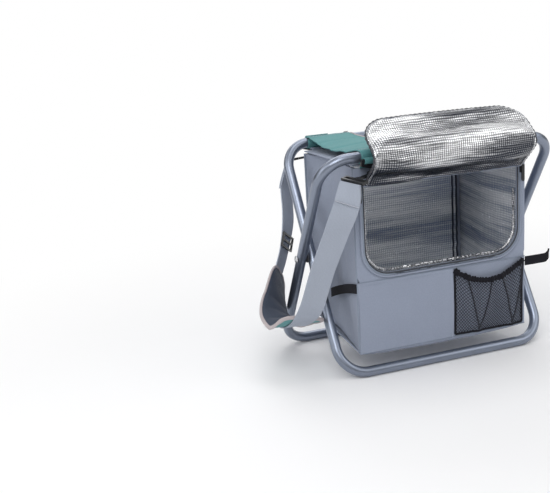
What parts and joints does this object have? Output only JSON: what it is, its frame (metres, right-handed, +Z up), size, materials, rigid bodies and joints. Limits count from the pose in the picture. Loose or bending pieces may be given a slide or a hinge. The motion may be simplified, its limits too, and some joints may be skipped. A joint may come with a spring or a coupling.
{
  "type": "folding cooler stool",
  "caption": "Folding stool of two crossed tube loops with a cloth seat, an insulated front-opening cooler bag and a shoulder strap.",
  "frame": {"origin": "on the floor under the middle of the front floor bar", "axes": "+Z up, +X to the sitter's right seen from the front, +Y from the front to the back"},
  "size_m": [0.4865, 0.2983, 0.3952],
  "materials": {
    "tube": "silver-grey powder coat, satin",
    "steel": "plain steel",
    "washer": "nylon",
    "teal_cloth": "plain woven polyester",
    "binding": "woven tape",
    "oxford": "grey-blue oxford cloth",
    "webbing": "ribbed webbing",
    "foil": "embossed foil film",
    "black_cloth": "black net, elastic and tape",
    "black_plastic": "moulded acetal"
  },
  "bodies": {
    "outer_frame": {"outer_frame_tube": "tube", "outer_frame_tube_plug": "steel", "pivot_rivet_left": "steel", "pivot_rivet_right": "steel", "pivot_washer_left": "washer", "pivot_washer_right": "washer", "seat_sleeve_front_left": "teal_cloth", "seat_sleeve_front_right": "teal_cloth", "seat_panel": "teal_cloth", "pad_cover": "teal_cloth", "notch_binding_front_left": "binding", "notch_binding_front_right": "binding", "bag_front_panel": "oxford", "bag_lid_panel": "oxford", "bag_gusset_left": "oxford", "bag_gusset_right": "oxford", "bag_floor": "oxford", "flap_hem": "oxford", "front_pocket_panel": "oxford", "foil_lining_left": "foil", "foil_lining_right": "foil", "foil_lining_floor": "foil", "mouth_zipper_tape": "black_cloth", "mesh_pocket": "black_cloth", "pocket_elastic": "black_cloth", "shoulder_pad": "black_cloth", "strap_front": "webbing", "strap_rear": "webbing", "ring_tab_front": "webbing", "strap_ring_front": "black_plastic", "strap_loop_front": "black_plastic", "snap_hook_front": "black_plastic", "strap_adjuster": "black_plastic"},
    "inner_frame": {"inner_frame_tube": "tube", "inner_frame_tube_plug": "steel", "seat_sleeve_rear_left": "teal_cloth", "seat_sleeve_rear_right": "teal_cloth", "notch_binding_rear_left": "binding", "notch_binding_rear_right": "binding", "ring_tab_rear": "webbing", "strap_ring_rear": "black_plastic", "strap_loop_rear": "black_plastic", "snap_hook_rear": "black_plastic"},
    "bag_rear": {"bag_rear_panel": "oxford", "foil_lining_rear": "foil"},
    "flap_lower": {"flap_lower_fold": "foil"},
    "flap_upper": {"flap_upper_fold": "foil", "label_patch": "black_cloth"},
    "slider_left": {"zipper_slider_left": "black_plastic"},
    "slider_right": {"zipper_slider_right": "black_plastic"},
    "pull_left": {"zipper_pull_left": "black_plastic"},
    "pull_right": {"zipper_pull_right": "black_plastic"},
    "closure_left": {"closure_strap_left": "black_cloth"},
    "closure_right": {"closure_strap_right": "black_cloth"},
    "gate_front": {"hook_gate_front": "steel"},
    "gate_rear": {"hook_gate_rear": "steel"}
  },
  "joints": [
    {"name": "fold", "type": "hinge", "parent": "outer_frame", "child": "inner_frame", "pos_m": [0, 0.1, 0.175], "axis": [1, 0, 0], "range_deg": [0, 50], "deforming": ["seat_panel", "bag_gusset_left", "bag_gusset_right", "foil_lining_left", "foil_lining_right", "foil_lining_floor", "bag_floor", "bag_lid_panel", "strap_rear"]},
    {"name": "bag_rear_swing", "type": "hinge", "parent": "inner_frame", "child": "bag_rear", "pos_m": [0, 0.2, 0.342], "axis": [1, 0, 0], "range_deg": [-50, 0]},
    {"name": "flap_lower", "type": "hinge", "parent": "outer_frame", "child": "flap_lower", "pos_m": [0, -0.005, 0.3], "axis": [1, 0, 0], "range_deg": [0, 133.1]},
    {"name": "flap_upper", "type": "hinge", "parent": "flap_lower", "child": "flap_upper", "pos_m": [0, -0.05202, 0.344], "axis": [1, 0, 0], "range_deg": [0, 96.1]},
    {"name": "slider_left", "type": "slide", "parent": "outer_frame", "child": "slider_left", "axis": [0, 0, -1], "range_m": [0, 0.085]},
    {"name": "slider_right", "type": "slide", "parent": "outer_frame", "child": "slider_right", "axis": [0, 0, -1], "range_m": [0, 0.085]},
    {"name": "pull_left", "type": "hinge", "parent": "slider_left", "child": "pull_left", "pos_m": [-0.1413, -0.0045, 0.2979], "axis": [1, 0, 0], "range_deg": [-100, 0]},
    {"name": "pull_right", "type": "hinge", "parent": "slider_right", "child": "pull_right", "pos_m": [0.1413, -0.0045, 0.2979], "axis": [1, 0, 0], "range_deg": [-100, 0]},
    {"name": "closure_left", "type": "hinge", "parent": "outer_frame", "child": "closure_left", "pos_m": [-0.14905, 0.0045, 0.1265], "axis": [0, 0, 1], "range_deg": [0, 10]},
    {"name": "closure_right", "type": "hinge", "parent": "outer_frame", "child": "closure_right", "pos_m": [0.1489, 0.00125, 0.145], "axis": [0, 0, 1], "range_deg": [-60, 70]},
    {"name": "gate_front", "type": "hinge", "parent": "outer_frame", "child": "gate_front", "pos_m": [-0.12366, -0.01516, 0.31632], "axis": [-0.0483, -0.2498, 0.9671], "range_deg": [0, 25], "stiffness_Nm_per_rad": 0.02},
    {"name": "gate_rear", "type": "hinge", "parent": "inner_frame", "child": "gate_rear", "pos_m": [-0.12366, 0.21516, 0.31632], "axis": [0.0483, -0.2498, -0.9671], "range_deg": [0, 25], "stiffness_Nm_per_rad": 0.02}
  ],
  "couplings": [
    {"joint": "bag_rear_swing", "follows": "fold", "ratio": -1},
    {"joint": "flap_upper", "follows": "flap_lower", "ratio": 0.722}
  ]
}
